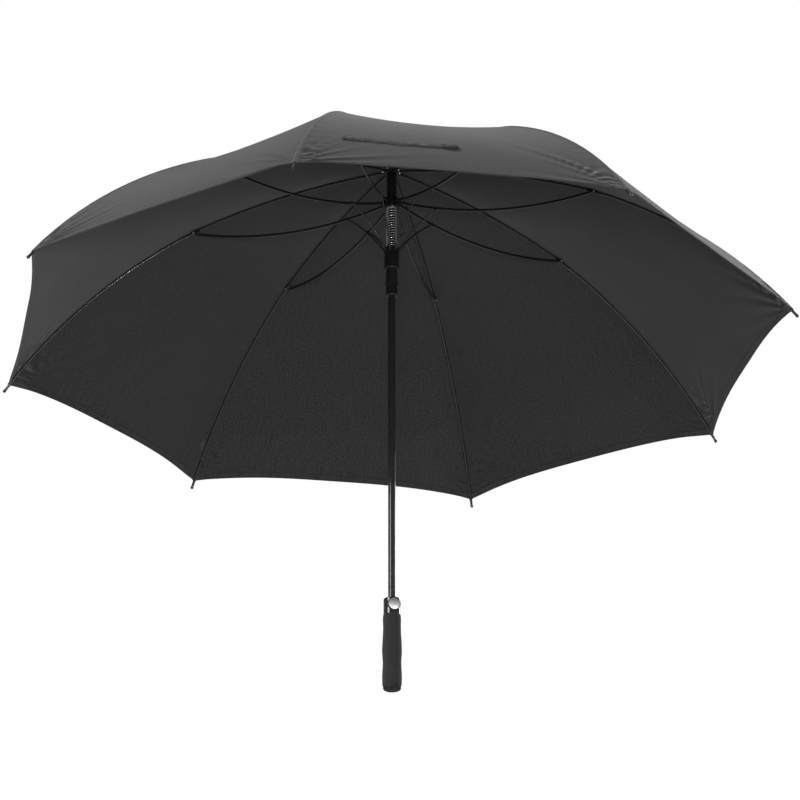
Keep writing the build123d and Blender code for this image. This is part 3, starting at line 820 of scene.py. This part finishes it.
def strap_tab():
    """The hook-and-loop tab on the strap's free end: a rounded patch with a sewn border."""
    length, width, squareness = 0.024, 0.0096, 0.35
    centre = STRAP_ENDS[1] - 0.014
    sides = 72
    angles = np.linspace(0, 2 * math.pi, sides, endpoint=False)
    profile = [(1.0, 0.0), (1.02, 0.0007), (0.97, 0.0012), (0.85, 0.0013), (0.78, 0.0010), (0.02, 0.0011)]
    rows = []
    for share, height in profile:
        x = drawn_out(np.cos(angles), squareness) * length / 2 * share
        y = drawn_out(np.sin(angles), squareness) * width / 2 * share
        out = STRAP_OUT + y
        along = centre + x
        lifted = TAB_LIFT + height + 0.0001 * np.sin(along * 900)
        up = gore_normals(out, along, STRAP_GORE)
        place = gore_surface(out, along, STRAP_GORE) + up * lifted[:, None]
        rows.append(turn_z(place, STRAP_GORE * PITCH + HALF))
    faces = grid_faces(len(rows), sides, round_columns=True)
    faces.append(cap(len(rows) - 1, sides))
    tab = new_object("strap_tab", np.concatenate(rows), faces)
    tab.data.materials.append(TAB_CLOTH)
    return tab


strap = strap_band()
tab = strap_tab()
for piece in (strap, tab):
    fold_with_rib(piece, STRAP_GORE, "outer")
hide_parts("closing_strap")
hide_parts("strap_fastener")

# ------------------------------------------------------------------ springs, rivets and ties

SPRING_TOP = NOTCH[1] - 0.0657
SPRING_BOTTOM = NOTCH[1] - 0.1398
SPRING_WIRE = 0.0009
SPRING_RADIUS = 0.0080
COILS = 17


def coil(name, radius, wire, bottom, top, coils, end_coils=1.0, sides=10, steps=30):
    """A compression spring with closed end coils."""
    count = int(coils * steps)
    turns = np.linspace(0, coils, count)
    closed = 2.1 * wire
    open_rise = (top - bottom - 2 * wire - 2 * end_coils * closed) / (coils - 2 * end_coils)
    rise = np.where((turns < end_coils) | (turns > coils - end_coils), closed, open_rise)
    height = np.concatenate([[0], np.cumsum(rise[1:] * np.diff(turns))])
    height *= (top - bottom - 2 * wire) / height[-1]
    angle = 2 * math.pi * turns
    path = np.stack([radius * np.cos(angle), radius * np.sin(angle), bottom + wire + height], -1)
    return tube(name, path, wire, sides)


opening_coil = coil("opening_coil", SPRING_RADIUS, SPRING_WIRE, SPRING_BOTTOM, SPRING_TOP, COILS)
opening_coil.data.materials.append(SPRING)
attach(opening_coil, "upper_runner")
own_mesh(opening_coil)
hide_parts("opening_spring")


def rivet_head(name, centre, facing, radius=0.0021, height=0.0008):
    """A domed rivet head that faces this way."""
    facing = np.asarray(facing, float)
    first = np.cross(facing, (0.0, 0.0, 1.0))
    second = np.cross(facing, first)
    sides = 24
    angles = np.linspace(0, 2 * math.pi, sides, endpoint=False)
    rows = []
    for bend in np.linspace(0, math.pi / 2 - 0.05, 7):
        ring = np.outer(np.cos(angles), first) + np.outer(np.sin(angles), second)
        rows.append(centre + ring * radius * math.cos(bend) + facing * height * math.sin(bend))
    faces = grid_faces(len(rows), sides, round_columns=True, flip=True)
    faces += [cap(len(rows) - 1, sides, flip=True), cap(0, sides)]
    return new_object(name, np.concatenate(rows), faces)


def rod_place(rib, share):
    """Point on an outer rib's middle line, with its sideways, upward and outward directions."""
    place, up = bowed(KNUCKLE, RIB_END, OUTER_TURN, [share])
    outward, aside = rib_frame(rib)
    centre = outward * place[0, 0] + np.array((0, 0, place[0, 1]))
    rise = outward * up[0, 0] + np.array((0, 0, up[0, 1]))
    return centre, aside, rise, np.cross(aside, rise)


def thread_tie(name, rib, share, turns=3):
    """A few turns of sewing thread that hold the seam to a rib's rod."""
    centre, aside, rise, ahead = rod_place(rib, share)
    angle = np.linspace(0, 2 * math.pi * turns, turns * 26)
    tall = np.where(np.sin(angle) > 0, 0.0034, 0.0021)
    path = (
        centre
        + np.outer(np.cos(angle) * 0.0021, aside)
        + np.outer(np.sin(angle) * tall, rise)
        + np.outer(angle / (2 * math.pi) * 0.0006, ahead)
    )
    return tube(name, path, 0.00028, 6)


# Collar, stem and bulb of a tip cap, as (radius, distance past the rib's end)
BULB_LINE = [
    (0.00205, -0.0044),
    (0.00285, -0.0040),
    (0.00285, -0.0026),
    (0.00235, -0.0020),
    (0.00222, 0.0020),
    (0.00222, 0.0070),
    (0.00262, 0.0086),
    (0.00270, 0.0102),
    (0.00215, 0.0117),
    (0.00090, 0.0122),
]


def tip_bulb(rib):
    """The swollen end of a tip cap and its collar, turned about the rib's end."""
    centre, aside, rise, ahead = rod_place(rib, 1.0)
    profile = smooth_line(BULB_LINE, 70)
    sides = 28
    angles = np.linspace(0, 2 * math.pi, sides, endpoint=False)
    ring = np.outer(np.cos(angles), aside) + np.outer(np.sin(angles), rise)
    points = np.concatenate([centre + ring * radius + ahead * along for radius, along in profile])
    faces = grid_faces(len(profile), sides, round_columns=True)
    faces.append(cap(len(profile) - 1, sides))
    return new_object(f"tip_bulb_{rib + 1}", points, faces)


TIE_SHARES = (0.3, 0.62, 0.9)
RIVET_PLACES = (("a", 0.0023, 1), ("b", -0.0050, -1))

for rib in range(RIBS):
    outward, aside = rib_frame(rib)
    bulb = tip_bulb(rib)
    bulb.data.materials.append(TIP)
    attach(bulb, f"rib_outer_{rib + 1}")
    joint_centre = outward * KNUCKLE[0] + np.array((0, 0, KNUCKLE[1]))
    for label, reach, way in RIVET_PLACES:
        head = rivet_head(f"rivet_{rib + 1}{label}", joint_centre + aside * reach, aside * way)
        head.data.materials.append(BRIGHT)
        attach(head, f"rib_inner_{rib + 1}")
    for number, share in enumerate(TIE_SHARES):
        tie = thread_tie(f"tie_{rib + 1}{'abc'[number]}", rib, share)
        tie.data.materials.append(THREAD)
        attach(tie, f"rib_outer_{rib + 1}")

# ------------------------------------------------------------------ foam grip

GRIP_BOTTOM = 0.0050
GRIP_TOP = 0.1234
GRIP_BORE = 0.0090
GRIP_LINE = [
    (0.0140, 0.0051),
    (0.0149, 0.0082),
    (0.01525, 0.0120),
    (0.01525, 0.0260),
    (0.0145, 0.0440),
    (0.0155, 0.0660),
    (0.0140, 0.0980),
    (0.0142, 0.1180),
    (0.0136, 0.1233),
]


def grip_sleeve():
    """The moulded foam grip, slightly uneven to the touch, with a pressed-in parting line."""
    outside = smooth_line(GRIP_LINE, 190)
    inside = [(GRIP_BORE, GRIP_TOP - 0.0001), (GRIP_BORE, GRIP_BOTTOM + 0.0001)]
    grip = sleeve("grip_sleeve", np.vstack([outside, inside]))
    for vertex in grip.data.vertices:
        place = vertex.co
        reach = math.hypot(place.x, place.y)
        if reach > GRIP_BORE + 0.001:
            dent = 0.00022 * noise.noise(place * 110) + 0.00010 * noise.noise(place * 420)
            seam = 0.00030 * math.exp(-((place.y / 0.0007) ** 2))
            factor = 1 + (dent - seam) / reach
            vertex.co = (place.x * factor, place.y * factor, place.z)
    grip.data.materials.append(FOAM)
    return grip


grip = grip_sleeve()
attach(grip, "root")
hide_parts("foam_grip")

# ------------------------------------------------------------------ camera, floor and light

CAMERA_AZIMUTH = math.radians(12.41)
CAMERA_ELEVATION = math.radians(-24.267)
CAMERA_ROLL = math.radians(-0.11)
CAMERA_DISTANCE = 5.5833
CAMERA_LENS = 156.44
AIM_ASIDE = 0.0132
AIM_HEIGHT = NOTCH[1] - 0.413

back = Vector(
    (
        math.sin(CAMERA_AZIMUTH) * math.cos(CAMERA_ELEVATION),
        -math.cos(CAMERA_AZIMUTH) * math.cos(CAMERA_ELEVATION),
        math.sin(CAMERA_ELEVATION),
    )
)
aim = Vector((math.cos(CAMERA_AZIMUTH) * AIM_ASIDE, math.sin(CAMERA_AZIMUTH) * AIM_ASIDE, AIM_HEIGHT))
camera = bpy.data.objects.new("camera", bpy.data.cameras.new("camera"))
bpy.context.scene.collection.objects.link(camera)
camera.data.lens = CAMERA_LENS
camera.data.sensor_width = 36.0
camera.data.clip_end = 600
camera.location = aim + back * CAMERA_DISTANCE
turn = (-back).to_track_quat("-Z", "Y").to_matrix() @ Matrix.Rotation(CAMERA_ROLL, 3, "Z")
camera.rotation_euler = turn.to_euler()
bpy.context.scene.camera = camera

# The floor lies far below, so that views from under the canopy are free of it. It shows paler than it
# lights, as the backdrop does.
FLOOR_HEIGHT = -12.0
FLOOR_REACH = 250.0
FLOOR_GLOW = 0.18
FLOOR_LOOK = 0.55
corners = [(-1, -1), (1, -1), (1, 1), (-1, 1)]
floor_points = [(x * FLOOR_REACH, y * FLOOR_REACH, FLOOR_HEIGHT) for x, y in corners]
floor = new_object("floor", floor_points, [(0, 1, 2, 3)], smooth=False)
floor_skin, floor_nodes = material("floor_pale", roughness=0.9, Emission_Color=(1.0, 1.0, 1.0, 1))
floor_ray = floor_nodes.add("ShaderNodeLightPath").outputs["Is Camera Ray"]
floor_nodes.set(
    Base_Color=floor_nodes.mix(floor_nodes.noise(floor_nodes.place(), 0.7), grey(0.84), grey(0.88)),
    Emission_Strength=floor_nodes.ramp(floor_ray, 0.0, 1.0, FLOOR_GLOW, FLOOR_LOOK),
)
floor.data.materials.append(floor_skin)


def soft_light(name, place, size, power, target=(0, 0, 0.6)):
    """A square soft box that faces the umbrella."""
    lamp = bpy.data.lights.new(name, "AREA")
    lamp.size = size
    lamp.energy = power
    thing = bpy.data.objects.new(name, lamp)
    bpy.context.scene.collection.objects.link(thing)
    thing.location = place
    thing.rotation_euler = (Vector(target) - Vector(place)).to_track_quat("-Z", "Y").to_euler()
    return thing


soft_light("key", (-3.0, -4.2, 3.2), 2.2, 190)
soft_light("fill", (3.6, -3.0, -0.9), 2.6, 40)
soft_light("rim", (2.4, 3.6, 2.6), 2.0, 90)
soft_light("front", (0.9, -4.6, -1.2), 0.5, 48, target=(0, 0, 0.7))
soft_light("glint_left", (-1.5, -4.2, 0.3), 0.14, 9, target=(0, 0, 0.5))

# A white backdrop to look at, and a dimmer studio around the object to light it
STUDIO_LIGHT = 0.30
world = bpy.data.worlds.new("studio")
world.use_nodes = True
backdrop = world.node_tree.nodes["Background"]
backdrop.inputs[0].default_value = (1.0, 1.0, 1.0, 1)
ray = world.node_tree.nodes.new("ShaderNodeLightPath")
strength = world.node_tree.nodes.new("ShaderNodeMapRange")
strength.inputs["To Min"].default_value = STUDIO_LIGHT
strength.inputs["To Max"].default_value = 1.0
world.node_tree.links.new(ray.outputs["Is Camera Ray"], strength.inputs["Value"])
world.node_tree.links.new(strength.outputs[0], backdrop.inputs[1])
bpy.context.scene.world = world
bpy.context.scene.view_settings.view_transform = "Standard"
